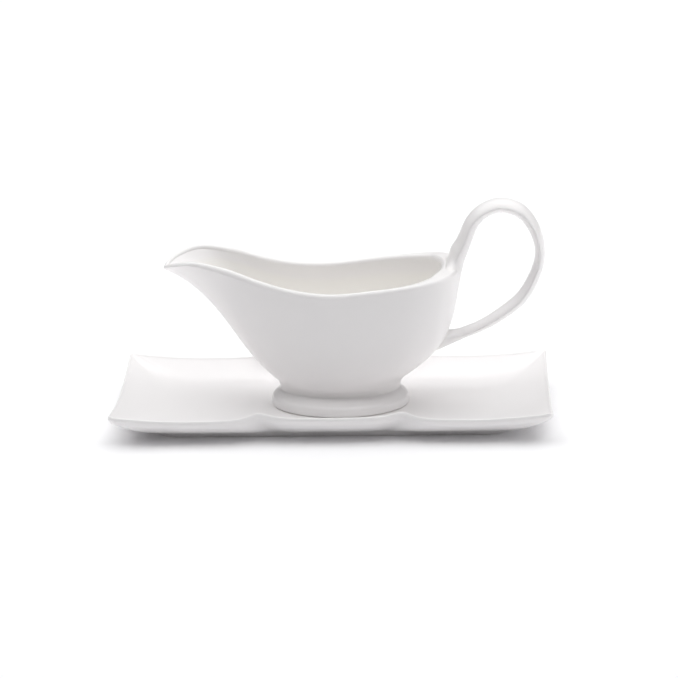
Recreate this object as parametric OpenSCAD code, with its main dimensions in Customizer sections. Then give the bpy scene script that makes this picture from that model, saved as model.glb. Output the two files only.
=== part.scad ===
// Porcelain gravy boat on a rectangular stand: an oval pedestal boat with a beak spout and a high
// loop handle, and the tray that it stands on. The boat lifts straight off the tray.
// Origin: centre of the tray's foot ring on the table. +X towards the handle, +Z up, millimetres.

/* [Tray] */
// Length of the tray over its corners
tray_len = 260; // [244:1:280]
// Width of the tray over its corners
tray_wid = 134; // [126:1:146]
// Height of the upturned corners above the table
corner_z = 19.4; // [18:0.1:22]
// Drop of the long edges below the corners
side_dip = 3.4; // [2:0.1:4]
// Drop of the end edges below the corners
end_dip = 6; // [3:0.1:6.5]
// Distance of each pinch from the middle of a long edge
pinch_x = 43; // [36:1:50]
// How far a pinch is pushed inwards
pinch_in = 4.4; // [2:0.1:6]
// Rise of the edge at a pinch
pinch_up = 2.9; // [1:0.1:4]
// Height of the well's flat floor above the table
well_z = 7.2; // [6.6:0.1:8]
// Thickness of the tray under its rim
tray_wall = 3.4; // [3:0.1:4]
// Height of the foot ring under the tray
ring_h = 3; // [2.5:0.1:3.4]
// Width of the foot ring's wall
ring_wall = 5; // [4:0.5:8]

/* [Pedestal] */
// Length of the pedestal's oval foot
foot_len = 83; // [78:1:88]
// Width of the pedestal's oval foot
foot_wid = 69; // [64:1:72]
// Height of the pedestal from its foot to the bowl
foot_h = 14.8; // [13:0.1:17]
// Thickness of the pedestal's wall
foot_wall = 4; // [3.5:0.1:5]

/* [Bowl] */
// Reach of the spout's tip from the middle of the tray
tip_x = 100.5; // [96:0.5:104]
// Reach of the bowl's back wall from the middle of the tray
back_x = 77; // [75:0.5:79]
// Greatest width of the bowl over its rim
beam = 85; // [80:1:90]
// Height of the rim at its lowest point above the table
saddle_z = 84.4; // [80:0.2:88]
// Thickness of the bowl's wall
bowl_wall = 3.6; // [3:0.1:4]
// Thickness of the bowl's rounded lip
lip_wall = 4.8; // [4:0.1:5.5]
// Width of the flat rim where the handle springs from it
deck = 11; // [8:0.5:12]

/* [Handle] */
// Height of the handle's top above the table
handle_top = 132; // [126:1:138]
// Greatest reach of the handle from the middle of the tray
handle_x = 127.2; // [124:0.2:129]
// Width of the strap at the top of its loop
strap_wid = 20; // [16:1:24]
// Thickness of the strap at the outermost point of its loop
strap_thick = 5.8; // [4.6:0.1:7]

/* [Fit] */
// Gap between the pedestal and the tray's floor
rest_gap = 0.05; // [0.02:0.01:0.2]

/* [Hidden] */

porcelain = "#f4f1ec";
half_len = tray_len / 2;
half_wid = tray_wid / 2;
rim_r = 3;                    // corner radius of the tray's rim
well_r = 20;                  // corner radius of the flat floor
well_inset = [32, 28.8];      // from the rim to the flat floor, along X and Y
under_t = 0.78;               // share of that inset where the underside is flat
ring_t = 0.7;                 // share of that inset where the foot ring stands
ring_round = 0.6;             // rounding of the foot ring's edges
edge_t = 0.035;               // share of that inset taken by the rounded edge
pinch_soft = 9;               // half-width of a pinch at half its height
mid_up = 1;                   // rise of the edge between the two pinches
mid_in = 1.3;                 // and its inward shift
side_flat = 0.64;             // share of the half-length before the corners turn up
side_n = 40;                  // segments along a long edge
end_n = 12;                   // segments along an end edge
corner_n = 4;                 // segments round a corner

foot_x = 4;                   // middle of the pedestal
foot_z = well_z + rest_gap;
seam_z = foot_z + foot_h;     // where the bowl stands on the pedestal
neck_in = [5, 8];             // from the foot's edge in to the neck, along X and Y
seam_in = 0.8;                // share of that inset where the bowl sits
seam_a = foot_len / 2 - seam_in * neck_in[0];
seam_b = foot_wid / 2 - seam_in * neck_in[1];
oval_n = 56;                  // segments round the pedestal

lip_z = 3;                    // height over which the lip is rounded
tip_lip_z = 1.6;              // and at the spout's tip
half_beam = beam / 2;
rim_step = 4;                 // segments between two rim stations
wall_n = 16;                  // segments from the seam to the rim
deck_end = 75;                // angle round the bowl where the deck has gone
deck_fade = 45;               // and the angle over which it fades
strap_n = 14;                 // segments round the strap
strap_step = 3;               // segments between two strap stations

// Rim of one side of the bowl, from the back to the tip: reach along X, half-width, height above
// the saddle, and the angle on the pedestal's oval that the wall runs down to.
rim_half = [
    [back_x, 0, 8.6, 0],
    [back_x - 1.6, 0.33 * half_beam, 8.4, 16],
    [back_x - 6.4, 0.64 * half_beam, 7.8, 32],
    [back_x - 14.5, 0.83 * half_beam, 6.6, 45],
    [back_x - 29, 0.96 * half_beam, 4.7, 60],
    [back_x - 53, half_beam, 2.1, 78],
    [0, 0.965 * half_beam, 0, 94],
    [-22, 0.84 * half_beam, 1.4, 110],
    [-42, 0.74 * half_beam, 6.1, 126],
    [-60, 0.66 * half_beam, 12.2, 142],
    [20.5 - tip_x, 0.55 * half_beam, 16, 157],
    [8.5 - tip_x, 0.38 * half_beam, 13.7, 168],
    [1.6 - tip_x, 0.17 * half_beam, 10.4, 175],
    [-tip_x, 0, 8.4, 180]
];

// Handle from the rim round to the lower wall: reach, height, strap width, strap thickness.
strap_line = [
    [72, 86, 1.1 * strap_wid, 7],
    [73.6, 94, 1.15 * strap_wid, 11],
    [76.3, 100.6, 1.1 * strap_wid, 10],
    [79.3, 106.6, 1.06 * strap_wid, 8.2],
    [84.2, handle_top - 14.3, strap_wid, 7.8],
    [91.3, handle_top - 7.3, strap_wid, 7.3],
    [101.5, handle_top - 3.6, strap_wid, 7.2],
    [handle_x - 14.6, handle_top - 7.8, 0.95 * strap_wid, strap_thick + 1.6],
    [handle_x - 6.8, 114.6, 0.88 * strap_wid, strap_thick + 0.9],
    [handle_x - strap_thick / 2, 101, 0.82 * strap_wid, strap_thick],
    [handle_x - 5, 87.8, 0.78 * strap_wid, strap_thick + 0.4],
    [handle_x - 13.2, 72, 0.76 * strap_wid, strap_thick + 1],
    [100.8, 60.9, 0.74 * strap_wid, strap_thick + 0.8],
    [88.6, 53.8, 0.71 * strap_wid, strap_thick],
    [76, 48.8, 0.7 * strap_wid, strap_thick + 0.1],
    [63.2, 42.6, 0.74 * strap_wid, 12]
];
seat_dir = [0.57, 0.82];      // lie of the lower wall where the strap's end sits on it
seat_n = 4;                   // rings over which the strap turns to that lie

function mix(a, b, t) = a + (b - a) * t;
function clamp01(t) = max(0, min(1, t));
function ease(t) = clamp01(t) * clamp01(t) * (3 - 2 * clamp01(t));
function unit(v) = v / norm(v);
function bell(d, w) = 1 / (1 + d * d / (w * w));

// A smooth curve through the stations, with n segments between each two.
function spline_at(p, i, t) =
    let (last = len(p) - 1,
         a = i > 0 ? p[i - 1] : 2 * p[0] - p[1],
         b = p[i],
         c = p[i + 1],
         d = i + 1 < last ? p[i + 2] : 2 * p[last] - p[last - 1])
    0.5 * (2 * b + (c - a) * t + (2 * a - 5 * b + 4 * c - d) * t * t
           + (3 * b - a - 3 * c + d) * t * t * t);
function spline(p, n) = [
    for (i = [0 : len(p) - 2], k = [0 : n - 1]) spline_at(p, i, k / n),
    p[len(p) - 1]
];

function middle(ring, i = 0, sum = [0, 0, 0]) =
    i == len(ring) ? sum / len(ring) : middle(ring, i + 1, sum + ring[i]);

// Skin over a stack of rings with equal counts of points; looped joins the last ring to the first.
module skin(rings, looped = false) {
    n = len(rings[0]);
    m = len(rings);
    bands = looped ? m : m - 1;
    sides = [
        for (j = [0 : bands - 1], i = [0 : n - 1])
            let (a = j * n, b = ((j + 1) % m) * n, k = (i + 1) % n)
            each [[a + i, b + i, b + k], [a + i, b + k, a + k]]
    ];
    caps = looped ? [] : [
        for (i = [0 : n - 1])
            let (k = (i + 1) % n, last = (m - 1) * n)
            each [[m * n, i, k], [m * n + 1, last + k, last + i]]
    ];
    hubs = looped ? [] : [middle(rings[0]), middle(rings[m - 1])];
    polyhedron(concat([for (r = rings) each r], hubs), concat(sides, caps), convexity = 8);
}

// Rounded rectangle as [x, y, code, s]: code 0 on a long edge, 1 on an end edge, 2 on a corner,
// and s the signed place along that edge as a share of its straight half.
function round_rect(a, b, r) = [
    for (q = [0 : 3])
        let (turn = 90 * q,
             long = q % 2 == 0,
             run = (long ? a : b) - r,
             off = long ? b : a,
             n = long ? side_n : end_n)
        each concat(
            [for (k = [0 : n - 1])
                let (s = 2 * k / n - 1)
                [for (v = [spin_xy([run * s, -off], turn)]) each [v[0], v[1], q % 2, s]]],
            [for (k = [0 : corner_n - 1])
                let (v = spin_xy([run + r * sin(90 * k / corner_n),
                                  r - off - r * cos(90 * k / corner_n)], turn))
                [v[0], v[1], 2, 0]]
        )
];
function spin_xy(p, deg) = [p[0] * cos(deg) - p[1] * sin(deg), p[0] * sin(deg) + p[1] * cos(deg)];

// Shape of the tray's edge: height and inward shift at a place on the rim.
function plateau(x) = ease((pinch_x + pinch_soft - abs(x)) / (2 * pinch_soft));
function pinch(x) = bell(abs(x) - pinch_x, pinch_soft);
function corner_rise(x) = pow(clamp01((abs(x) / half_len - side_flat) / (1 - side_flat)), 1.8);
function long_z(x) = corner_z - side_dip * (1 - corner_rise(x)) + pinch_up * pinch(x) + mid_up * plateau(x);
function end_z(s) = corner_z - end_dip * cos(90 * s);
function rim_point(p) =
    p[2] == 0 ? [p[0], sign(p[1]) * (abs(p[1]) - pinch_in * pinch(p[0]) - mid_in * plateau(p[0])),
                 long_z(p[0])]
    : p[2] == 1 ? [p[0], p[1], end_z(p[3])]
    : [p[0], p[1], corner_z];

module tray() {
    rim = [for (p = round_rect(half_len, half_wid, rim_r)) rim_point(p)];
    well = round_rect(half_len - well_inset[0], half_wid - well_inset[1], well_r);
    foot = [for (row = [[ring_wall, ring_h], [ring_wall, ring_round], [ring_wall - ring_round, 0],
                        [ring_round, 0], [0, ring_round], [0, ring_h]]) foot_ring(row[0], row[1])];
    under = [for (t = [0.6, 0.48, 0.36, 0.24, 0.12, edge_t])
        tray_ring(rim, well, t, ring_h, tray_wall, under_t)];
    edge = [[for (p = rim) p - [0, 0, 0.5 * tray_wall]]];
    top = [for (t = [edge_t, 0.1, 0.2, 0.31, 0.43, 0.56, 0.7, 0.85, 1])
        tray_ring(rim, well, t, well_z, 0, 1)];
    color(porcelain) skin(concat(foot, under, edge, top));
}

// A ring of the foot below the tray, inset from the foot's outer face, at height z.
function foot_ring(inset, z) =
    let (a = half_len - ring_t * well_inset[0] - inset,
         b = half_wid - ring_t * well_inset[1] - inset,
         r = mix(rim_r, well_r, ring_t) - inset)
    [for (p = round_rect(a, b, r)) [p[0], p[1], z]];

// A ring of the tray at share t of the way from its rim to the flat floor.
function tray_ring(rim, well, t, floor_z, drop, flat_t) = [
    for (i = [0 : len(rim) - 1])
        let (lift = pow((flat_t - t) / (flat_t - edge_t), 2))
        [mix(rim[i][0], well[i][0], t),
         mix(rim[i][1], well[i][1], t),
         floor_z + (rim[i][2] - drop - floor_z) * lift]
];

function oval(a, b, z) = [
    for (i = [0 : oval_n - 1])
        let (v = 360 * i / oval_n)
        [foot_x + a * cos(v), b * sin(v), z]
];

// Pedestal: a flared ring, hollow below. Each row is a share of the way in to the neck and a share
// of the way up from the foot to the bowl.
module boat_foot() {
    outside = [[0.18, 0], [0.02, 0.04], [0, 0.09], [0, 0.22], [0.06, 0.32], [0.22, 0.42], [0.48, 0.51],
               [0.76, 0.58], [0.97, 0.65], [1.04, 0.73], [1, 0.84], [0.92, 0.93], [seam_in, 1]];
    inside = [[seam_in, 1], [1, 0.8], [0.9, 0.55], [0.6, 0.34], [0.25, 0.16], [0.1, 0]];
    color(porcelain)
        skin(concat(
            [for (p = outside) pedestal_ring(p[0], 0, p[1])],
            [for (p = inside) pedestal_ring(p[0], foot_wall, p[1])]
        ), looped = true);
}
function pedestal_ring(neck, wall, rise) =
    oval(foot_len / 2 - neck * neck_in[0] - wall, foot_wid / 2 - neck * neck_in[1] - wall,
         foot_z + rise * foot_h);

function fold(turn) = turn > 180 ? 360 - turn : turn;
function lip_at(turn) = mix(lip_z, tip_lip_z, ease((fold(turn) - 140) / 35));

// The whole rim as stations [x, y, z, angle], back to tip and round to the back again.
function rim_loop() =
    let (half = [for (p = spline(rim_half, rim_step)) [p[0], p[1], saddle_z + p[2] - lip_at(p[3]), p[3]]],
         n = len(half))
    concat(half, [for (i = [n - 2 : -1 : 1]) [half[i][0], -half[i][1], half[i][2], 360 - half[i][3]]]);

// Outside of the bowl at share t of the way from the seam to the rim, below station p.
function wall_point(p, t) =
    let (tip = ease(fold(p[3]) / 90 - 1),
         back = ease(1 - fold(p[3]) / 90),
         seam = [foot_x + seam_a * cos(p[3]), seam_b * sin(p[3]), seam_z],
         rim = [p[0], p[1], p[2]],
         out = [rim[0] - seam[0], rim[1] - seam[1], 0],
         low = seam + out * (0.62 - 0.29 * tip + 0.16 * back) + [0, 0, 11 + 2 * tip + 10 * back],
         high = seam + out * (1 - 0.53 * tip - 0.1 * back)
                + [0, 0, rim[2] - seam_z - 26 + 11 * tip - 12 * back],
         s = 1 - t)
    s * s * s * seam + 3 * s * s * t * low + 3 * s * t * t * high + t * t * t * rim;

// Inward direction of the wall there, from its neighbours up the wall and along the rim. It turns
// level towards the rim.
function wall_inward(loop, i, t) =
    let (n = len(loop),
         up = wall_point(loop[i], min(1, t + 0.04)) - wall_point(loop[i], max(0, t - 0.04)),
         along = wall_point(loop[(i + 1) % n], t) - wall_point(loop[(i + n - 1) % n], t),
         in = unit(cross(up, along)))
    unit([in[0], in[1], in[2] * (1 - pow(t, 3))]);

// Wall thickness: it swells into the lip, and into a flat deck at the top of the back wall.
function wall_at(p, t) =
    let (lip = mix(lip_wall, bowl_wall, ease((fold(p[3]) - 140) / 35)),
         top = mix(lip, deck, ease((deck_end - fold(p[3])) / deck_fade)))
    mix(bowl_wall, top, pow(t, 5));

function inner_ring(loop, t) = [
    for (i = [0 : len(loop) - 1])
        wall_point(loop[i], t) + wall_inward(loop, i, t) * wall_at(loop[i], t)
];
function lip_ring(loop, outer, inner, v) = [
    for (i = [0 : len(outer) - 1])
        mix(inner[i], outer[i], 0.5 + 0.5 * cos(v)) + [0, 0, lip_at(loop[i][3]) * sin(v)]
];

module boat_bowl() {
    loop = rim_loop();
    outer = [for (k = [0 : wall_n]) [for (p = loop) wall_point(p, k / wall_n)]];
    inner = [for (k = [wall_n : -1 : 1]) inner_ring(loop, k / wall_n)];
    lip = [for (v = [45, 90, 135]) lip_ring(loop, outer[wall_n], inner[0], v)];
    floor_z = seam_z + bowl_wall + 0.6;
    floor_in = [for (p = loop) [foot_x + (seam_a - 7) * cos(p[3]), (seam_b - 7) * sin(p[3]), floor_z]];
    color(porcelain) skin(concat(outer, lip, inner, [floor_in]));
}

// Round cross-section of the strap: wide across Y, thin along its normal n in the XZ plane.
function strap_ring(p, n) = [
    for (k = [0 : strap_n - 1])
        let (v = 360 * k / strap_n)
        [p[0] + n[0] * p[3] / 2 * cos(v), p[2] / 2 * sin(v), p[1] + n[1] * p[3] / 2 * cos(v)]
];

module boat_handle() {
    line = spline(strap_line, strap_step);
    last = len(line) - 1;
    color(porcelain)
        skin([for (i = [0 : last])
            let (d = line[min(last, i + 1)] - line[max(0, i - 1)],
                 n = mix(unit([d[1], -d[0]]), seat_dir, ease(1 - (last - i) / seat_n)))
            strap_ring(line[i], unit(n))]);
}

tray();
boat_foot();
boat_bowl();
boat_handle();
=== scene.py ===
"""A porcelain gravy boat on its rectangular stand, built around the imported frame.

The frame gives the sizes and places. Each class here models one casting of the set, ring by ring, and
dresses it in its glaze. All lengths are metres, in the frame's own axes: +X towards the handle, +Z up.
"""

import logging
import math
from dataclasses import dataclass, field
from enum import Enum
from typing import Callable, Iterable, Sequence

import bmesh
import bpy
from mathutils import Matrix, Vector


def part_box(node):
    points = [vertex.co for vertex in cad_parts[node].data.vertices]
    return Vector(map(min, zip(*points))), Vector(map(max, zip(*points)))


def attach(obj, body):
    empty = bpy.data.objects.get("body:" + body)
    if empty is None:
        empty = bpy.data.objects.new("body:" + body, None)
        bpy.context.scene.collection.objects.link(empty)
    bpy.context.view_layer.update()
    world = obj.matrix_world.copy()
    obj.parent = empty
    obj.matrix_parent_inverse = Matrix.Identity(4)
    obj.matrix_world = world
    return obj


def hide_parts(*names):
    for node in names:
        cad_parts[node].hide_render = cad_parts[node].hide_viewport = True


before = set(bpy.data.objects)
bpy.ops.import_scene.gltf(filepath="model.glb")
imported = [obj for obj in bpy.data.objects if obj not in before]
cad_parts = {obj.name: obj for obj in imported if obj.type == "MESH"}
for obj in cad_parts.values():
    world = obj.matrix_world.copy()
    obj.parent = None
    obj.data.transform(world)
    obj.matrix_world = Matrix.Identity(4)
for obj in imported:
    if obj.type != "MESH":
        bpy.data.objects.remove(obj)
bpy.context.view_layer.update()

logging.basicConfig(level=logging.INFO, format="%(message)s")
LOG = logging.getLogger("gravy_boat")

MM = 0.001
REST_GAP = 0.05 * MM
UP = Vector((0.0, 0.0, 1.0))
Station = tuple[float, ...]
Ring = list[Vector]


class Slot(Enum):
    """Material slot names; each glaze holds one, but none is put on a piece."""

    TRAY = "tray_porcelain"
    BOAT = "boat_porcelain"


class PoolAndBounceTint(Enum):
    """How thick the glaze lies on a stretch of surface, from a bare edge to a hollow; the thicker levels
    also take the warm colour that paints in bounce light.
    """

    EDGE = 0.0
    WALL = 0.25
    SEAM = 0.6
    INSIDE = 1.0


# ---------------------------------------------------------------------------- curves

def mix(a: float, b: float, t: float) -> float:
    """Value at share t of the way from a to b."""
    return a + (b - a) * t


def clamp01(t: float) -> float:
    """t held between 0 and 1."""
    return max(0.0, min(1.0, t))


def ease(t: float) -> float:
    """Smooth step from 0 to 1."""
    t = clamp01(t)
    return t * t * (3.0 - 2.0 * t)


def bell(distance: float, width: float) -> float:
    """Soft peak of height 1, half as high at one width away."""
    return 1.0 / (1.0 + (distance / width) ** 2)


def folded(turn: float) -> float:
    """Angle round the bowl from its back, the same on both sides."""
    return 360.0 - turn if turn > 180.0 else turn


def spaced(first: float, last: float, count: int) -> list[float]:
    """Evenly spaced values with both ends.

    Args:
        first: The first value.
        last: The last value.
        count: How many values, at least 2.

    Returns:
        The values in order.
    """
    return [mix(first, last, k / (count - 1)) for k in range(count)]


def bezier(points: Sequence[Vector], t: float) -> Vector:
    """Point on a Bezier curve of any degree.

    Args:
        points: The curve's control points.
        t: Place along it, 0 to 1.

    Returns:
        The point.
    """
    row = list(points)
    while len(row) > 1:
        row = [a.lerp(b, t) for a, b in zip(row, row[1:])]
    return row[0]


@dataclass(frozen=True)
class Spline:
    """A smooth curve through stations, each a tuple of numbers."""

    stations: Sequence[Station]

    def at(self, share: float) -> Station:
        """Station at a share of the way along, all spans counted equal.

        Args:
            share: Place along the whole curve, 0 to 1.

        Returns:
            The interpolated numbers.
        """
        p = self.stations
        last = len(p) - 1
        place = clamp01(share) * last
        i = min(int(place), last - 1)
        t = place - i
        b, c = p[i], p[i + 1]
        a = p[i - 1] if i > 0 else tuple(2 * m - n for m, n in zip(b, c))
        d = p[i + 2] if i + 2 <= last else tuple(2 * n - m for m, n in zip(b, c))
        return tuple(
            0.5 * (2 * q + (r - o) * t + (2 * o - 5 * q + 4 * r - s) * t * t
                   + (3 * q - o - 3 * r + s) * t ** 3)
            for o, q, r, s in zip(a, b, c, d)
        )


# ---------------------------------------------------------------------------- meshes

class RingSkin:
    """A skin grown ring by ring from one circle of vertices, each ring extruded from the last."""

    def __init__(self, points: Ring, pool_and_bounce_tint: PoolAndBounceTint | float = PoolAndBounceTint.WALL) -> None:
        """Start the skin.

        Args:
            points: Where the first ring's vertices go, in order.
            pool_and_bounce_tint: Thickness of the glaze there.
        """
        self.bm = bmesh.new()
        self.glaze = self.bm.verts.layers.float.new("glaze_pool")
        made = bmesh.ops.create_circle(self.bm, cap_ends=False, radius=1.0, segments=len(points))
        self.ring = made["verts"]
        self._place(points, pool_and_bounce_tint)
        self.first = list(self.ring)

    def _place(self, points: Ring, pool_and_bounce_tint: PoolAndBounceTint | float) -> None:
        """Move the open ring's vertices to their points.

        Args:
            points: The points, in order.
            pool_and_bounce_tint: Thickness of the glaze there.
        """
        amount = pool_and_bounce_tint.value if isinstance(pool_and_bounce_tint, PoolAndBounceTint) else pool_and_bounce_tint
        for vert, point in zip(self.ring, points):
            vert.co = point
            vert[self.glaze] = amount

    def _edges(self, ring: Sequence[bmesh.types.BMVert]) -> list[bmesh.types.BMEdge]:
        """Edges round a closed ring of vertices."""
        return [self.bm.edges.get((a, b)) for a, b in zip(ring, list(ring[1:]) + [ring[0]])]

    def grow(self, points: Ring, pool_and_bounce_tint: PoolAndBounceTint | float = PoolAndBounceTint.WALL) -> "RingSkin":
        """Extrude the open ring and move the new one into place.

        Args:
            points: Where the new ring's vertices go, in the first ring's order.
            pool_and_bounce_tint: Thickness of the glaze there.

        Returns:
            The skin itself.
        """
        made = bmesh.ops.extrude_edge_only(self.bm, edges=self._edges(self.ring))
        fresh = {v for v in made["geom"] if isinstance(v, bmesh.types.BMVert)}
        self.ring = [
            next(e.other_vert(v) for e in v.link_edges if e.other_vert(v) in fresh) for v in self.ring
        ]
        self._place(points, pool_and_bounce_tint)
        return self

    def crease(self) -> "RingSkin":
        """Keep the open ring as a hard edge when the skin is shaded smooth.

        Returns:
            The skin itself.
        """
        for edge in self._edges(self.ring):
            edge.smooth = False
        return self

    def close(self) -> "RingSkin":
        """Join the open ring back to the first one, as on a hollow ring."""
        bmesh.ops.bridge_loops(self.bm, edges=self._edges(self.ring) + self._edges(self.first))
        return self

    def cap(self) -> "RingSkin":
        """Fill the first ring and the open ring.

        Returns:
            The skin itself.
        """
        bmesh.ops.contextual_create(self.bm, geom=self._edges(self.first))
        bmesh.ops.contextual_create(self.bm, geom=self._edges(self.ring))
        return self

    def finish(self, name: str) -> bpy.types.Object:
        """Turn the skin into an object in the scene.

        Args:
            name: The object's name.

        Returns:
            The object, smooth shaded, at the origin.
        """
        bmesh.ops.recalc_face_normals(self.bm, faces=self.bm.faces)
        for face in self.bm.faces:
            face.smooth = True
        mesh = bpy.data.meshes.new(name)
        self.bm.to_mesh(mesh)
        self.bm.free()
        piece = bpy.data.objects.new(name, mesh)
        bpy.context.scene.collection.objects.link(piece)
        return piece


# ---------------------------------------------------------------------------- shader maths

class Signal:
    """A socket's value in a shader, with Python's operators as Math nodes."""

    def __init__(self, sheet: "ShaderSheet", socket: bpy.types.NodeSocket) -> None:
        """Wrap an output socket of a node on the sheet."""
        self.sheet = sheet
        self.socket = socket

    def _math(self, operation: str, *values: "Signal | float") -> "Signal":
        """Add one Math node on these values."""
        return self.sheet.add("ShaderNodeMath", {"operation": operation}, dict(enumerate(values)))[0]

    def __add__(self, other: "Signal | float") -> "Signal":
        """Sum."""
        return self._math("ADD", self, other)

    __radd__ = __add__

    def __mul__(self, other: "Signal | float") -> "Signal":
        """Product."""
        return self._math("MULTIPLY", self, other)

    def __sub__(self, other: "Signal | float") -> "Signal":
        """Difference."""
        return self._math("SUBTRACT", self, other)

    def __rsub__(self, other: "Signal | float") -> "Signal":
        """Difference from a number."""
        return self._math("SUBTRACT", other, self)

    def ramp(self, low: float, high: float) -> "Signal":
        """Smooth step over a range.

        Args:
            low: The value at which the step starts, at 0.
            high: The value at which it ends, at 1.

        Returns:
            The step's value.
        """
        return self.sheet.add(
            "ShaderNodeMapRange", {"interpolation_type": "SMOOTHSTEP", "clamp": True},
            {"Value": self, "From Min": low, "From Max": high, "To Min": 0.0, "To Max": 1.0},
        )["Result"]


class NodeOutputs:
    """A node's outputs, by name or number, as signals."""

    def __init__(self, sheet: "ShaderSheet", node: bpy.types.Node) -> None:
        """Hold a node of the sheet."""
        self.sheet = sheet
        self.node = node

    def __getitem__(self, key: str | int) -> Signal:
        """The named or numbered output."""
        return Signal(self.sheet, self.node.outputs[key])


class ShaderSheet:
    """A material's node tree."""

    def __init__(self, name: str) -> None:
        """Make an empty material with nodes.

        Args:
            name: The material's name.
        """
        self.material = bpy.data.materials.new(name)
        self.material.use_nodes = True
        self.tree = self.material.node_tree
        self.tree.nodes.clear()

    def add(self, kind: str, settings: dict | None = None, inputs: dict | None = None) -> NodeOutputs:
        """Add a node.

        Args:
            kind: The node's type.
            settings: Properties set on the node before its sockets.
            inputs: Values or signals for its input sockets, by name or number.

        Returns:
            The node's outputs.
        """
        node = self.tree.nodes.new(kind)
        for key, value in (settings or {}).items():
            setattr(node, key, value)
        for key, value in (inputs or {}).items():
            if isinstance(value, Signal):
                self.tree.links.new(value.socket, node.inputs[key])
            else:
                node.inputs[key].default_value = value
        return NodeOutputs(self, node)

    def blend(self, factor: Signal | float, a: "Signal | tuple", b: "Signal | tuple") -> Signal:
        """Mix two colours.

        Args:
            factor: Share of b, 0 to 1.
            a: Colour or signal at 0.
            b: Colour or signal at 1.

        Returns:
            The mixed colour.
        """
        return self.add("ShaderNodeMix", {"data_type": "RGBA"}, {0: factor, 6: a, 7: b})[2]


@dataclass(frozen=True)
class Glaze:
    """A soft clear glaze over white porcelain, bare on the ring that the piece was fired on, warmer where
    it lies thick: that warmth is partly painted bounce light.
    """

    name: str
    slot: Slot
    bare_below: float
    bare_band: float = 0.5 * MM
    body: tuple[float, float, float] = (0.965, 0.948, 0.95)
    # Colour where the glaze lies thick, warmer than the body: partly real glaze pooling, partly painted
    # warm bounce light inside the bowl and in the seams.
    pooled_and_bounce_tint: tuple[float, float, float] = (0.97, 0.955, 0.93)
    edge: tuple[float, float, float] = (0.97, 0.955, 0.955)
    bisque: tuple[float, float, float] = (0.70, 0.65, 0.58)
    dull: tuple[float, float, float] = (0.78, 0.75, 0.72)
    dull_share: float = 0.12
    speck_colour: tuple[float, float, float] = (0.40, 0.33, 0.26)
    speck_share: float = 0.25
    speck_radius: tuple[float, float] = (0.010, 0.022)
    speck_cells: float = 70.0
    ripple_height: float = 0.008 * MM
    grain_height: float = 0.04 * MM
    roughness: float = 0.35
    roughness_drift: float = 0.08
    coat: float = 0.4
    coat_roughness: float = 0.2

    def material(self) -> bpy.types.Material:
        """Build the material.

        Returns:
            The material, with nodes on Object coordinates and the skin's own attribute for glaze
            thickness, which also sets the painted warm bounce tint.
        """
        sheet = ShaderSheet(self.name)
        place = sheet.add("ShaderNodeTexCoord")["Object"]
        height = sheet.add("ShaderNodeSeparateXYZ", None, {0: place})["Z"]
        normal = sheet.add("ShaderNodeNewGeometry")["Normal"]
        facing = sheet.add("ShaderNodeSeparateXYZ", None, {0: normal})["Z"]
        # Glaze thickness from the skin; it also sets how much painted warm bounce tint goes on.
        pool_and_bounce_tint = sheet.add("ShaderNodeAttribute", {"attribute_name": "glaze_pool"})["Fac"]

        cloud = self._noise(sheet, place, 22.0, 3.0)
        ripple = self._noise(sheet, place, 110.0, 0.0)
        grain = self._noise(sheet, place, 2600.0, 2.0)
        above_ring = height.ramp(self.bare_below, self.bare_below + self.bare_band)
        bare = (1.0 - above_ring) * (1.0 - facing.ramp(-0.9, -0.6))

        speck = self._specks(sheet, place)
        # Edge, body and thick-glaze colours by glaze thickness; the warm thick-glaze colour is partly
        # painted bounce light.
        coloured = sheet.blend(pool_and_bounce_tint.ramp(0.0, 0.3), (*self.edge, 1.0), (*self.body, 1.0))
        coloured = sheet.blend(pool_and_bounce_tint.ramp(0.3, 1.0), coloured, (*self.pooled_and_bounce_tint, 1.0))
        dulled = (cloud - 0.5) * self.dull_share + self.dull_share / 2
        clouded = sheet.blend(dulled, coloured, (*self.dull, 1.0))
        specked = sheet.blend(speck * self.speck_share, clouded, (*self.speck_colour, 1.0))
        colour = sheet.blend(bare, specked, (*self.bisque, 1.0))

        rough = self.roughness + (cloud - 0.5) * self.roughness_drift + bare * 0.5
        relief = ripple * self.ripple_height * (1.0 - bare) + grain * self.grain_height * bare
        bump = sheet.add("ShaderNodeBump", None, {"Strength": 1.0, "Distance": 1.0, "Height": relief})
        shader = sheet.add("ShaderNodeBsdfPrincipled", None, {
            "Base Color": colour,
            "Roughness": rough,
            "IOR": 1.5,
            "Specular IOR Level": 0.25,
            "Coat Weight": (1.0 - bare) * self.coat,
            "Coat Roughness": self.coat_roughness,
            "Coat IOR": 1.5,
            "Normal": bump["Normal"],
        })["BSDF"]
        sheet.add("ShaderNodeOutputMaterial", None, {"Surface": shader})
        return sheet.material

    def _noise(self, sheet: ShaderSheet, place: Signal, scale: float, detail: float) -> Signal:
        """Noise on the piece's own coordinates, at a scale per metre."""
        settings = {"Vector": place, "Scale": scale, "Detail": detail}
        return sheet.add("ShaderNodeTexNoise", None, settings)["Fac"]

    def _specks(self, sheet: ShaderSheet, place: Signal) -> Signal:
        """A few fine specks from the kiln.

        Args:
            sheet: The material's sheet.
            place: The piece's own coordinates.

        Returns:
            A mask, 1 on a speck.
        """
        cells = sheet.add("ShaderNodeTexVoronoi", None,
                          {"Vector": place, "Scale": self.speck_cells, "Randomness": 1.0})
        picked = sheet.add("ShaderNodeSeparateColor", None, {0: cells["Color"]})["Red"].ramp(0.90, 0.94)
        return (1.0 - cells["Distance"].ramp(*self.speck_radius)) * picked

    def dress(self, piece: bpy.types.Object) -> None:
        """Give the piece this glaze.

        Args:
            piece: The piece to dress.
        """
        piece.data.materials.clear()
        piece.data.materials.append(self.material())


# ---------------------------------------------------------------------------- the tray

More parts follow.
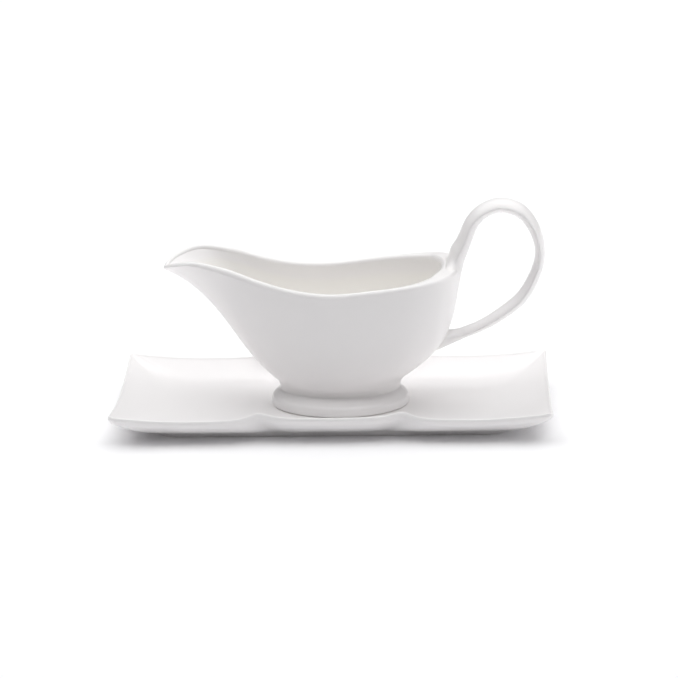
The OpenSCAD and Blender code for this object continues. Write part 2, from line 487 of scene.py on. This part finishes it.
@dataclass
class Tray:
    """The rectangular stand: upturned corners, two pinches on each long edge, a foot ring below."""

    high: Vector
    well_z: float
    rim_radius: float = 3.0 * MM
    well_radius: float = 22.0 * MM
    well_inset: tuple[float, float] = (33.0 * MM, 29.0 * MM)
    side_dip: float = 3.4 * MM
    end_dip: float = 6.0 * MM
    pinch_x: float = 43.0 * MM
    pinch_in: float = 4.4 * MM
    pinch_up: float = 2.9 * MM
    pinch_soft: float = 8.0 * MM
    mid_up: float = 1.0 * MM
    mid_in: float = 1.3 * MM
    side_flat: float = 0.64
    wall: float = 3.4 * MM
    edge_radius: float = 1.2 * MM
    ring_height: float = 3.0 * MM
    ring_wall: float = 5.0 * MM
    ring_share: float = 0.7
    ring_round: float = 0.9 * MM
    under_share: float = 0.78
    counts: tuple[int, int, int] = (120, 60, 8)

    def outline(self, half: tuple[float, float], radius: float) -> list[tuple[float, float, int, float]]:
        """Points round a rounded rectangle, from the front-left corner round to the right.

        Args:
            half: Half-length and half-width.
            radius: Corner radius.

        Returns:
            For each point x, y, the side (0 long, 1 end, 2 corner) and its place along that side, -1 to 1.
        """
        points = []
        long_n, end_n, corner_n = self.counts
        for quarter in range(4):
            is_long = quarter % 2 == 0
            run = half[0 if is_long else 1] - radius
            off = half[1 if is_long else 0]
            turn = Matrix.Rotation(quarter * math.pi / 2, 2)
            count = long_n if is_long else end_n
            for k in range(count):
                s = 2.0 * k / count - 1.0
                x, y = turn @ Vector((run * s, -off))
                points.append((x, y, quarter % 2, s))
            for k in range(corner_n):
                v = math.pi / 2 * k / corner_n
                x, y = turn @ Vector((run + radius * math.sin(v), radius - off - radius * math.cos(v)))
                points.append((x, y, 2, 0.0))
        return points

    def _plateau(self, x: float) -> float:
        """Share of the raised stretch between the two pinches."""
        return ease((self.pinch_x + self.pinch_soft - abs(x)) / (2 * self.pinch_soft))

    def rim_point(self, point: tuple[float, float, int, float]) -> Vector:
        """Where the rim's edge runs.

        Args:
            point: A point of the rim's plain outline.

        Returns:
            The point with its height and its shift inwards.
        """
        x, y, side, s = point
        top = self.high.z
        if side == 2:
            return Vector((x, y, top))
        if side == 1:
            return Vector((x, y, top - self.end_dip * math.cos(math.pi / 2 * s)))
        pinch = bell(abs(x) - self.pinch_x, self.pinch_soft)
        plateau = self._plateau(x)
        rise = clamp01((abs(x) / self.high.x - self.side_flat) / (1 - self.side_flat)) ** 1.8
        z = top - self.side_dip * (1 - rise) + self.pinch_up * pinch + self.mid_up * plateau
        inward = self.pinch_in * pinch + self.mid_in * plateau
        return Vector((x, math.copysign(abs(y) - inward, y), z))

    def build(self) -> bpy.types.Object:
        """Grow the tray from its foot ring out under the rim, over its edge and in to the flat floor.

        Returns:
            The tray's object.
        """
        half = (self.high.x, self.high.y)
        rim = [self.rim_point(p) for p in self.outline(half, self.rim_radius)]
        well_half = (half[0] - self.well_inset[0], half[1] - self.well_inset[1])
        well = self.outline(well_half, self.well_radius)

        def plan(t: float) -> list[tuple[float, float]]:
            """Plan of a ring at share t of the way from the rim to the floor."""
            return [(mix(r.x, w[0], t), mix(r.y, w[1], t)) for r, w in zip(rim, well)]

        def slope(t: float, floor: float, drop: float, flat: float) -> Ring:
            """A ring on the rising side, above a floor that is flat from share flat on."""
            lift = clamp01((flat - t) / flat) ** 2
            return [Vector((x, y, floor + (r.z - drop - floor) * lift)) for (x, y), r in zip(plan(t), rim)]

        def foot(inset: float, z: float) -> Ring:
            """A ring of the foot.

            Args:
                inset: Distance in from the foot's outer face.
                z: Height.

            Returns:
                The ring's points.
            """
            a = half[0] - self.ring_share * self.well_inset[0] - inset
            b = half[1] - self.ring_share * self.well_inset[1] - inset
            r = mix(self.rim_radius, self.well_radius, self.ring_share) - inset
            return [Vector((p[0], p[1], z)) for p in self.outline((a, b), r)]

        def shrunk(ring: Ring, share: float) -> Ring:
            """A flat ring pulled in towards the middle."""
            return [Vector((p.x * share, p.y * share, p.z)) for p in ring]

        round_r = self.ring_round
        arc = spaced(0.0, math.pi / 2, 5)
        inner = foot(self.ring_wall + round_r, self.ring_height)
        skin = RingSkin(shrunk(inner, 0.05), PoolAndBounceTint.WALL)
        for share in (0.3, 0.6, 0.85, 0.97):
            skin.grow(shrunk(inner, share), PoolAndBounceTint.WALL)
        skin.grow(inner, PoolAndBounceTint.SEAM)
        for v in arc[1:]:
            skin.grow(foot(self.ring_wall + round_r * (1 - math.sin(v)),
                           self.ring_height - round_r * (1 - math.cos(v))), PoolAndBounceTint.SEAM)
        for v in arc:
            inset = self.ring_wall - round_r * (1 - math.cos(v))
            skin.grow(foot(inset, round_r * (1 - math.sin(v))), PoolAndBounceTint.WALL)
        for v in reversed(arc):
            skin.grow(foot(round_r * (1 - math.cos(v)), round_r * (1 - math.sin(v))), PoolAndBounceTint.WALL)
        skin.grow(foot(0.0, self.ring_height - 0.4 * MM), PoolAndBounceTint.SEAM)
        for t in spaced(0.66, 0.04, 22):
            skin.grow(slope(t, self.ring_height, self.wall, self.under_share), PoolAndBounceTint.WALL)

        lip = (self.wall - 0.2 * MM) / 2
        for v in spaced(-75.0, 75.0, 7):
            out = self.edge_radius * (1 - math.cos(math.radians(v)))
            up = lip * math.sin(math.radians(v)) - lip
            skin.grow([Vector((r.x - math.copysign(out, r.x) * x_in, r.y - math.copysign(out, r.y) * y_in,
                               r.z + up))
                       for r, (x_in, y_in) in zip(rim, self._inward(rim))], PoolAndBounceTint.EDGE)
        for t in spaced(0.045, 1.0, 30):
            skin.grow(slope(t, self.well_z, 0.0, 1.0), PoolAndBounceTint.WALL if t > 0.1 else PoolAndBounceTint.EDGE)
        flat = slope(1.0, self.well_z, 0.0, 1.0)
        for share in (0.9, 0.75, 0.55, 0.3, 0.06):
            skin.grow(shrunk(flat, share), PoolAndBounceTint.WALL)
        return skin.cap().finish("tray_casting")

    def _inward(self, rim: Ring) -> list[tuple[float, float]]:
        """Direction across the rim.

        Args:
            rim: The rim's points.

        Returns:
            Sizes of the inward direction along X and Y, at each point.
        """
        found = []
        count = len(rim)
        for i in range(count):
            along = rim[(i + 1) % count] - rim[i - 1]
            along.z = 0.0
            along.normalize()
            found.append((abs(along.y), abs(along.x)))
        return found


# ---------------------------------------------------------------------------- the boat

@dataclass
class Bowl:
    """The bowl: a beak spout, a saddle-shaped rounded rim and a flat deck behind it."""

    low: Vector
    high: Vector
    seam_middle: Vector
    seam_half: tuple[float, float]
    wall: float = 3.6 * MM
    lip_wall: float = 4.8 * MM
    lip: float = 3.0 * MM
    tip_lip: float = 1.6 * MM
    tip_from: float = 140.0
    tip_fade: float = 35.0
    keel_share: float = 0.35
    deck: float = 11.0 * MM
    deck_end: float = 75.0
    deck_fade: float = 45.0
    saddle_drop: float = 16.0 * MM
    low_out: Station = (0.62, -0.29, 0.16)
    low_up: Station = (11.0, 2.0, 10.0)
    high_out: Station = (1.0, -0.53, -0.1)
    high_down: Station = (26.0, -11.0, 12.0)
    tuck_slope: float = 0.72
    dish_t: float = 0.2
    around: int = 96
    up_the_wall: int = 44

    def __post_init__(self) -> None:
        """Lay out the rim from the box of the bowl."""
        back, tip, beam = self.high.x, -self.low.x, self.high.y
        saddle = self.high.z - self.saddle_drop
        rows = (
            (back, 0.0, 8.6, 0.0),
            (back - 1.6 * MM, 0.33 * beam, 8.4, 16.0),
            (back - 6.4 * MM, 0.64 * beam, 7.8, 32.0),
            (back - 14.5 * MM, 0.83 * beam, 6.6, 45.0),
            (back - 29.0 * MM, 0.96 * beam, 4.7, 60.0),
            (back - 53.0 * MM, beam, 2.1, 78.0),
            (0.0, 0.965 * beam, 0.0, 94.0),
            (-22.0 * MM, 0.84 * beam, 1.4, 110.0),
            (-42.0 * MM, 0.74 * beam, 6.1, 126.0),
            (-60.0 * MM, 0.66 * beam, 12.2, 142.0),
            (20.5 * MM - tip, 0.55 * beam, 16.0, 157.0),
            (8.5 * MM - tip, 0.38 * beam, 13.7, 168.0),
            (1.6 * MM - tip, 0.17 * beam, 10.4, 175.0),
            (-tip, 0.0, 8.4, 180.0),
        )
        self.rim = Spline([(x, y, saddle + rise * MM - self.lip_at(turn), turn)
                           for x, y, rise, turn in rows])

    def tip_share(self, turn: float) -> float:
        """How far the rim has turned into the spout's tip, 0 to 1."""
        return ease((folded(turn) - self.tip_from) / self.tip_fade)

    def lip_at(self, turn: float) -> float:
        """Height over which the lip is rounded, less at the spout's tip."""
        return mix(self.lip, self.tip_lip, self.tip_share(turn))

    def station(self, share: float) -> Station:
        """Rim station, from the back by +Y to the tip and home.

        Args:
            share: Share of the way round.

        Returns:
            x, y, height and the angle on the seam.
        """
        if share <= 0.5:
            return self.rim.at(2 * share)
        x, y, z, turn = self.rim.at(2 - 2 * share)
        return x, -y, z, 360.0 - turn

    def share_at(self, turn: float) -> float:
        """Share of the way round at which the wall runs down to an angle of the seam.

        Args:
            turn: The angle from the back, negative towards -Y.

        Returns:
            The share.
        """
        low, high = 0.0, 0.5
        for _ in range(30):
            middle = (low + high) / 2
            if self.rim.at(2 * middle)[3] < abs(turn):
                low = middle
            else:
                high = middle
        return low if turn >= 0 else 1.0 - low

    def wall_point(self, share: float, t: float) -> Vector:
        """Outside of the bowl.

        Args:
            share: Share of the way round the rim.
            t: Share of the way from the seam to the rim.

        Returns:
            The point.
        """
        x, y, z, turn = self.station(share % 1.0)
        fold = folded(turn)
        tip, back = ease(fold / 90.0 - 1.0), ease(1.0 - fold / 90.0)
        angle = math.radians(turn)
        seam = self.seam_middle + Vector((self.seam_half[0] * math.cos(angle),
                                          self.seam_half[1] * math.sin(angle), 0.0))
        rim = Vector((x, y, z))
        out = Vector((x - seam.x, y - seam.y, 0.0))

        def shaped(numbers: Station) -> float:
            """Number for the side, with its changes towards the tip and towards the back."""
            return numbers[0] + numbers[1] * tip + numbers[2] * back

        low = seam + out * shaped(self.low_out) + UP * shaped(self.low_up) * MM
        high = seam + out * shaped(self.high_out)
        high += UP * (rim.z - seam.z - shaped(self.high_down) * MM)
        tuck = max(0.0, (low - seam).to_2d().length - self.tuck_slope * (low.z - seam.z))
        tuck *= 3.0 * t * (1.0 - t) ** 12
        return bezier((seam, low, high, rim), t) - out.normalized() * tuck

    def inward(self, share: float, t: float) -> Vector:
        """Direction into the bowl through its wall, turning level towards the rim.

        Args:
            share: Share of the way round the rim.
            t: Share of the way from the seam to the rim.

        Returns:
            The direction.
        """
        up = self.wall_point(share, min(1.0, t + 0.03)) - self.wall_point(share, max(0.0, t - 0.03))
        step = 0.5 / self.around
        along = self.wall_point(share + step, t) - self.wall_point(share - step, t)
        inward = up.cross(along).normalized()
        inward.z *= 1.0 - t ** 3
        return inward.normalized()

    def thickness(self, share: float, t: float) -> float:
        """Wall thickness: it swells into the lip, and into the deck at the top of the back wall.

        Args:
            share: Share of the way round the rim.
            t: Share of the way from the seam to the rim.

        Returns:
            The thickness.
        """
        turn = self.station(share % 1.0)[3]
        lip = mix(self.lip_wall, self.wall, self.tip_share(turn))
        top = mix(lip, self.deck, ease((self.deck_end - folded(turn)) / self.deck_fade))
        return mix(self.wall, top, t ** 5)

    def inner_point(self, share: float, t: float) -> Vector:
        """Inside of the bowl, kept from crossing over at the spout's keel.

        Args:
            share: Share of the way round the rim.
            t: Share of the way from the seam to the rim.

        Returns:
            The point, through the wall from the outside.
        """
        outer = self.wall_point(share, t)
        inner = outer + self.inward(share, t) * self.thickness(share, t)
        side = math.copysign(1.0, outer.y)
        inner.y = side * max(side * inner.y, self.keel_share * abs(outer.y))
        return inner

    def lip_point(self, share: float, degrees: float) -> Vector:
        """Point on the rounded lip.

        Args:
            share: Share of the way round the rim.
            degrees: Turn over the lip, from 0 at its outer edge to 180 at its inner edge.

        Returns:
            The point.
        """
        outer, inner = self.wall_point(share, 1.0), self.inner_point(share, 1.0)
        across = (outer - inner).normalized()
        length = (outer - inner).length
        radius = min(self.lip_wall, length) / 2
        rise = self.lip_at(self.station(share % 1.0)[3])
        v = math.radians(degrees)
        if abs(degrees - 90.0) < 1.0:
            return outer.lerp(inner, 0.5) + UP * rise
        start = outer - across * radius if degrees < 90.0 else inner + across * radius
        return start + across * (radius * math.cos(v)) + UP * (rise * math.sin(v))

    def crown(self, share: float, across: float) -> Vector:
        """Point on top of the rim.

        Args:
            share: Share of the way round the rim.
            across: Share of the way across the rim from its outer edge to its inner edge.

        Returns:
            The point, rounded off towards both edges.
        """
        outer, inner = self.wall_point(share, 1.0), self.inner_point(share, 1.0)
        from_edge = min(across, 1.0 - across) * (outer - inner).length
        shy = 1.0 - clamp01(2 * from_edge / self.lip_wall)
        rise = self.lip_at(self.station(share % 1.0)[3])
        return outer.lerp(inner, across) + UP * (rise * math.sqrt(1.0 - shy * shy))

    def build(self) -> bpy.types.Object:
        """Grow the bowl from its bottom, up outside, over the lip and down to the floor inside.

        Returns:
            The bowl's object.
        """
        shares = [k / (2 * self.around) for k in range(2 * self.around)]

        def ring(point: Callable[[float], Vector]) -> Ring:
            """One ring of points, all the way round."""
            return [point(share) for share in shares]

        bottom = ring(lambda s: self.wall_point(s, 0.0))
        middle = self.seam_middle
        skin = RingSkin([middle.lerp(p, 0.05) for p in bottom], PoolAndBounceTint.WALL)
        for share in (0.4, 0.8):
            skin.grow([middle.lerp(p, share) for p in bottom], PoolAndBounceTint.WALL)
        skin.grow(bottom, PoolAndBounceTint.WALL).crease()
        for t in spaced(0.0, 1.0, self.up_the_wall)[1:]:
            skin.grow(ring(lambda s: self.wall_point(s, t)))
        for v in (20.0, 40.0, 60.0, 75.0, 90.0, 105.0, 120.0, 140.0, 160.0):
            skin.grow(ring(lambda s: self.lip_point(s, v)), PoolAndBounceTint.EDGE)
        for t in spaced(1.0, self.dish_t, self.up_the_wall - 8):
            # The inside gets the full thick-glaze colour, partly painted warm bounce light.
            pool_and_bounce_tint = mix(PoolAndBounceTint.INSIDE.value, PoolAndBounceTint.EDGE.value, ease(t * 6 - 5))
            skin.grow(ring(lambda s: self.inner_point(s, t)), pool_and_bounce_tint)
        floor = middle + UP * (self.wall + 0.4 * MM)
        side = ring(lambda s: self.inner_point(s, self.dish_t))
        for t in spaced(0.1, 0.97, 14):
            skin.grow([bezier((p, Vector((mix(floor.x, p.x, 0.72), p.y * 0.72, floor.z)), floor), t)
                       for p in side], PoolAndBounceTint.INSIDE)
        return skin.cap().finish("boat_bowl_casting")


@dataclass
class Pedestal:
    """The oval foot of the boat: a bead at its edge, a hollow cove up to the neck, hollow below."""

    low: Vector
    high: Vector
    neck_in: tuple[float, float] = (5.0 * MM, 8.0 * MM)
    seam_in: float = 0.8
    wall: float = 4.0 * MM
    around: int = 192

    @property
    def middle(self) -> Vector:
        """Middle of the top of the pedestal, where the bowl sits."""
        return Vector(((self.low.x + self.high.x) / 2, 0.0, self.high.z))

    @property
    def seam_half(self) -> tuple[float, float]:
        """Half-length and half-width of the oval at the seam."""
        a, b = self.neck_in
        return (self.high.x - self.low.x) / 2 - self.seam_in * a, self.high.y - self.seam_in * b

    def oval(self, neck: float, wall: float, rise: float) -> Ring:
        """Ring inset from the foot's edge, at a height above the foot.

        Args:
            neck: Share of the way in to the neck.
            wall: Thickness of wall further in than that.
            rise: Height above the tray.

        Returns:
            The ring's points.
        """
        a = (self.high.x - self.low.x) / 2 - neck * self.neck_in[0] - wall
        b = self.high.y - neck * self.neck_in[1] - wall
        x, z = self.middle.x, self.low.z + rise
        turns = [2 * math.pi * k / self.around for k in range(self.around)]
        return [Vector((x + a * math.cos(v), b * math.sin(v), z)) for v in turns]

    def build(self) -> bpy.types.Object:
        """Grow the pedestal round its section, from the foot up outside and down inside.

        Returns:
            The pedestal's object.
        """
        top, seam = (self.high.z - self.low.z) / MM, self.seam_in
        foot = Spline(((0.18, 0.0), (0.04, 0.35), (0.0, 1.0), (0.0, 2.4), (0.02, 3.8), (0.09, 5.0),
                       (0.22, 6.1), (0.40, 7.0), (0.58, 7.8), (0.74, 8.4), (0.88, 8.9), (0.98, 9.35),
                       (1.05, 9.75)))
        neck = Spline(((1.06, 10.0), (1.05, 10.8), (1.02, 11.8), (0.97, 12.9), (0.90, 13.9), (seam, top)))
        inside = Spline(((seam, top), (1.0, 11.8), (0.9, 8.0), (0.6, 5.0), (0.25, 2.4), (0.1, 0.0)))
        outer = [(foot.at(s), PoolAndBounceTint.WALL.value) for s in spaced(0.0, 1.0, 48)]
        outer += [(neck.at(s), mix(PoolAndBounceTint.SEAM.value, PoolAndBounceTint.WALL.value, s))
                  for s in spaced(0.0, 1.0, 22)]
        rings = [(self.oval(share, 0.0, rise * MM), pool_and_bounce_tint) for (share, rise), pool_and_bounce_tint in outer]
        skin = RingSkin(*rings[0])
        for ring, pool_and_bounce_tint in rings[1:]:
            skin.grow(ring, pool_and_bounce_tint)
        skin.crease()
        for s in spaced(0.0, 1.0, 24):
            share, rise = inside.at(s)
            skin.grow(self.oval(share, self.wall, rise * MM))
        return skin.close().finish("boat_foot_casting")


@dataclass
class Handle:
    """The loop handle: a strap of lens section that flares into the deck and into the lower wall."""

    high: Vector
    bowl: Bowl
    width: float = 20.0 * MM
    thick: float = 5.9 * MM
    around: int = 48
    along: int = 110
    edge_round: float = 0.5
    flare_rows: int = 16
    root_turn: float = 27.0
    root_across: tuple[float, float] = (0.34, 0.82)
    root_rear: float = 0.35
    root_drop: float = 0.24
    root_clear: float = 1.8 * MM
    root_sink: float = 0.25 * MM
    root_lead: float = 4.0 * MM
    rear_turn: float = 11.0
    rear_swell: float = 1.2 * MM
    rear_blend: float = 1.4
    seat_t: float = 0.47
    seat_up: float = 0.07
    seat_down: float = 0.20
    seat_turn: float = 12.0
    seat_sink: float = 0.3 * MM
    seat_swell: float = 1.0 * MM

    def __post_init__(self) -> None:
        """Lay out the strap's middle line from the box of the handle."""
        top, reach, w, t = self.high.z, self.high.x, self.width, self.thick
        self.line = Spline((
            (76.3 * MM, 100.6 * MM, 1.10 * w, 10.4 * MM),
            (79.3 * MM, 106.6 * MM, 1.06 * w, 8.9 * MM),
            (84.2 * MM, top - 14.3 * MM, w, 8.5 * MM),
            (91.3 * MM, top - 7.3 * MM, w, 8.3 * MM),
            (101.5 * MM, top - 4.2 * MM, w, 8.2 * MM),
            (reach - 14.6 * MM, top - 7.8 * MM, 0.95 * w, t + 2.2 * MM),
            (reach - 6.8 * MM, 114.6 * MM, 0.88 * w, t + 1.1 * MM),
            (reach - t / 2, 101.0 * MM, 0.82 * w, t),
            (reach - 5.0 * MM, 87.8 * MM, 0.78 * w, t + 0.6 * MM),
            (reach - 13.2 * MM, 72.0 * MM, 0.76 * w, t + 1.4 * MM),
            (100.8 * MM, 60.9 * MM, 0.74 * w, t + 1.1 * MM),
            (88.6 * MM, 53.8 * MM, 0.71 * w, t + 0.2 * MM),
            (78.5 * MM, 49.7 * MM, 0.70 * w, t + 0.1 * MM),
        ))

    def _direction(self, share: float) -> Vector:
        """Direction of the middle line."""
        a, b = self.line.at(share - 0.01), self.line.at(share + 0.01)
        return Vector((b[0] - a[0], 0.0, b[1] - a[1])).normalized()

    def section(self, share: float) -> Ring:
        """Lens section of the strap at a share of the way along.

        Args:
            share: Place along the middle line, 0 at the rim.

        Returns:
            The ring, starting on the inside of the loop.
        """
        x, z, width, thick = self.line.at(share)
        along = self._direction(share)
        normal = Vector((along.z, 0.0, -along.x))
        ring = []
        for k in range(self.around):
            v = 2 * math.pi * k / self.around
            side = math.sin(v)
            bulge = mix(math.cos(v) * abs(math.cos(v)), math.cos(v), self.edge_round)
            ring.append(Vector((x, side * width / 2, z)) + normal * (bulge * thick / 2))
        return ring

    def _root_seat(self, v: float) -> Vector:
        """Where the flare below the strap ends on the bowl: on the deck in front, down the wall behind.

        Args:
            v: Angle round the strap's section, 0 on the inside of the loop.

        Returns:
            The point, just under the bowl's surface.
        """
        side, rear = math.sin(v), max(0.0, math.cos(v))
        share = self.bowl.share_at(self.root_turn * side)
        if rear < self.root_rear:
            front = max(0.0, -math.cos(v))
            across = mix(*self.root_across, front) * (1.0 - rear / self.root_rear)
            return self.bowl.crown(share, across) - UP * self.root_sink
        t = 1.0 - self.root_drop * (rear - self.root_rear) / (1.0 - self.root_rear)
        return self.bowl.wall_point(share, t) + self.bowl.inward(share, t) * self.root_sink

    def root(self, section: Ring) -> Iterable[Ring]:
        """Flare from the rim and the back wall up to the strap's first section.

        Args:
            section: The first section.

        Returns:
            The rings, from the bowl up.
        """
        down = -self._direction(0.0)
        deck_z = self.bowl.crown(0.0, 0.5).z
        for t in spaced(0.0, 0.95, self.flare_rows):
            ring = []
            for k, start in enumerate(section):
                v = 2 * math.pi * k / self.around
                seat = self._root_seat(v)
                front_knee = start + down * ((start.z - deck_z) / -down.z)
                front_knee.x = max(front_knee.x, seat.x + self.root_clear)
                share = self.bowl.share_at(self.rear_turn * math.sin(v))
                rear_knee = self.bowl.wall_point(share, 1.0)
                rear_knee -= self.bowl.inward(share, 1.0) * self.rear_swell
                knee = front_knee.lerp(rear_knee, ease(max(0.0, math.cos(v)) * self.rear_blend))
                ring.append(bezier((seat, knee, start + down * self.root_lead, start), t))
            yield ring

    def seat(self, section: Ring) -> Iterable[Ring]:
        """Flare from the strap's last section down to the lower wall.

        Args:
            section: The last section.

        Returns:
            The rings, from the strap down.
        """
        for t in spaced(0.06, 1.0, self.flare_rows):
            ring = []
            for k, start in enumerate(section):
                v = 2 * math.pi * k / self.around
                rise, side = math.cos(v), math.sin(v)
                spread = self.seat_up if rise > 0 else self.seat_down
                foot_share = self.bowl.share_at(self.seat_turn * side)
                knee_share = self.bowl.share_at(0.75 * self.seat_turn * side)
                inward = self.bowl.inward(foot_share, self.seat_t)
                foot = self.bowl.wall_point(foot_share, self.seat_t + spread * rise)
                foot += inward * self.seat_sink
                knee = self.bowl.wall_point(knee_share, self.seat_t + 0.04 * rise)
                knee -= inward * self.seat_swell
                knee = knee.lerp(start.lerp(foot, 0.5), clamp01(-1.2 * rise))
                ring.append(bezier((start, knee, foot), t))
            yield ring

    def build(self) -> bpy.types.Object:
        """Grow the handle from the rim's deck round to the lower wall.

        Returns:
            The handle's object.
        """
        rings = list(self.root(self.section(0.0)))
        rings += [self.section(share) for share in spaced(0.0, 1.0, self.along)]
        rings += list(self.seat(self.section(1.0)))
        skin = RingSkin(rings[0], PoolAndBounceTint.SEAM)
        last = len(rings) - 1
        for i, ring in enumerate(rings[1:], start=1):
            near_end = min(i, last - i) / self.flare_rows
            skin.grow(ring, mix(PoolAndBounceTint.SEAM.value, PoolAndBounceTint.EDGE.value, ease(near_end)))
        return skin.cap().finish("boat_handle_casting")


# ---------------------------------------------------------------------------- the studio

@dataclass(frozen=True)
class SoftBox:
    """A square area light that looks at a point."""

    name: str
    place: tuple[float, float, float]
    aim: tuple[float, float, float]
    size: float
    power: float
    colour: tuple[float, float, float] = (1.0, 1.0, 1.0)

    def light(self) -> None:
        """Hang the light."""
        data = bpy.data.lights.new(self.name, "AREA")
        data.shape = "SQUARE"
        data.size = self.size
        data.energy = self.power
        data.color = self.colour
        lamp = bpy.data.objects.new(self.name, data)
        lamp.location = self.place
        lamp.rotation_euler = (Vector(self.aim) - Vector(self.place)).to_track_quat("-Z", "Y").to_euler()
        bpy.context.scene.collection.objects.link(lamp)


@dataclass
class Studio:
    """A white table top, soft white light and the camera."""

    aim: tuple[float, float, float] = (0.0037, 0.0, 0.0463)
    distance: float = 1.8
    elevation: float = 16.0
    azimuth: float = -2.25
    roll: float = -1.19
    lens: float = 159.1
    floor_size: float = 14.0
    floor_colour: tuple[float, float, float] = (0.955, 0.955, 0.965)
    floor_glow_colour: tuple[float, float, float] = (1.0, 0.97, 1.0)
    floor_glow: float = 0.03
    sky: tuple[float, float, float] = (1.0, 0.995, 1.0)
    sky_strength: float = 0.02
    boxes: list[SoftBox] = field(default_factory=lambda: [
        SoftBox("overhead_box", (0.0, 1.0, 2.5), (0.0, 1.0, 0.0), 5.0, 137.0),
        SoftBox("front_box", (0.5, -1.2, 2.2), (0.0, 0.0, 0.0), 1.0, 5.0),
        SoftBox("left_box", (-2.2, 0.3, 1.9), (0.0, 0.0, 0.05), 1.4, 8.0),
        SoftBox("right_box", (2.2, -0.1, 0.6), (0.0, 0.0, 0.05), 1.4, 10.0),
        SoftBox("back_box", (0.0, 4.0, 0.9), (0.0, 0.0, 0.05), 3.0, 7.0),
    ])

    def camera(self) -> None:
        """Set up the camera."""
        turn, rise = math.radians(self.azimuth), math.radians(self.elevation)
        level = Vector((math.sin(turn), math.cos(turn), 0.0))
        forward = level * math.cos(rise) - UP * math.sin(rise)
        right = forward.cross(UP).normalized()
        up = right.cross(forward)
        lean = Matrix.Rotation(math.radians(self.roll), 3, -forward)
        right, up = lean @ right, lean @ up
        data = bpy.data.cameras.new("camera")
        data.lens = self.lens
        data.sensor_width = 36.0
        data.clip_end = 60.0
        camera = bpy.data.objects.new("camera", data)
        basis = Matrix((right, up, -forward)).transposed().to_4x4()
        camera.matrix_world = Matrix.Translation(Vector(self.aim) - forward * self.distance) @ basis
        bpy.context.scene.collection.objects.link(camera)
        bpy.context.scene.camera = camera

    def floor(self) -> None:
        """Lay the table top."""
        skin = bmesh.new()
        bmesh.ops.create_grid(skin, x_segments=1, y_segments=1, size=self.floor_size / 2)
        mesh = bpy.data.meshes.new("table_top")
        skin.to_mesh(mesh)
        skin.free()
        floor = bpy.data.objects.new("table_top", mesh)
        bpy.context.scene.collection.objects.link(floor)
        sheet = ShaderSheet("table_top_white")
        shader = sheet.add("ShaderNodeBsdfPrincipled", None, {
            "Base Color": (*self.floor_colour, 1.0),
            "Roughness": 1.0,
            "Specular IOR Level": 0.0,
            "Emission Color": (*self.floor_glow_colour, 1.0),
            "Emission Strength": self.floor_glow,
        })["BSDF"]
        sheet.add("ShaderNodeOutputMaterial", None, {"Surface": shader})
        mesh.materials.append(sheet.material)

    def light(self) -> None:
        """Switch on the white surroundings and the soft boxes."""
        world = bpy.data.worlds.new("white_room")
        world.use_nodes = True
        background = world.node_tree.nodes["Background"]
        background.inputs["Color"].default_value = (*self.sky, 1.0)
        background.inputs["Strength"].default_value = self.sky_strength
        bpy.context.scene.world = world
        for box in self.boxes:
            box.light()
        bpy.context.scene.view_settings.view_transform = "Standard"


def box_of(node: str) -> tuple[Vector, Vector]:
    """Lowest and highest corners of a node of the frame."""
    low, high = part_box(node)
    return Vector(low), Vector(high)


def hang(piece: bpy.types.Object, body: str, node: str) -> None:
    """Let a piece ride on its body in place of its node, and report it.

    Args:
        piece: The piece.
        body: The body it rides on.
        node: The node it stands in for.
    """
    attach(piece, body)
    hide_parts(node)
    LOG.info("%s: %d faces, in place of %s on %s", piece.name, len(piece.data.polygons), node, body)


def main() -> None:
    """Build the studio and the four castings."""
    studio = Studio()
    studio.camera()
    studio.floor()
    studio.light()

    tray_low, tray_high = box_of("tray")
    foot_low, foot_high = box_of("boat_foot")
    tray = Tray(tray_high, well_z=foot_low.z - REST_GAP)
    tray_piece = tray.build()
    Glaze("tray_glaze", Slot.TRAY, bare_below=tray_low.z).dress(tray_piece)
    hang(tray_piece, "tray", "tray")

    boat_glaze = Glaze("boat_glaze", Slot.BOAT, bare_below=foot_low.z)
    pedestal = Pedestal(foot_low, foot_high)
    foot_piece = pedestal.build()
    boat_glaze.dress(foot_piece)
    hang(foot_piece, "boat", "boat_foot")

    bowl = Bowl(*box_of("boat_bowl"), seam_middle=pedestal.middle, seam_half=pedestal.seam_half)
    bowl_piece = bowl.build()
    boat_glaze.dress(bowl_piece)
    hang(bowl_piece, "boat", "boat_bowl")

    handle = Handle(box_of("boat_handle")[1], bowl=bowl)
    handle_piece = handle.build()
    boat_glaze.dress(handle_piece)
    hang(handle_piece, "boat", "boat_handle")


if __name__ == "__main__":
    main()
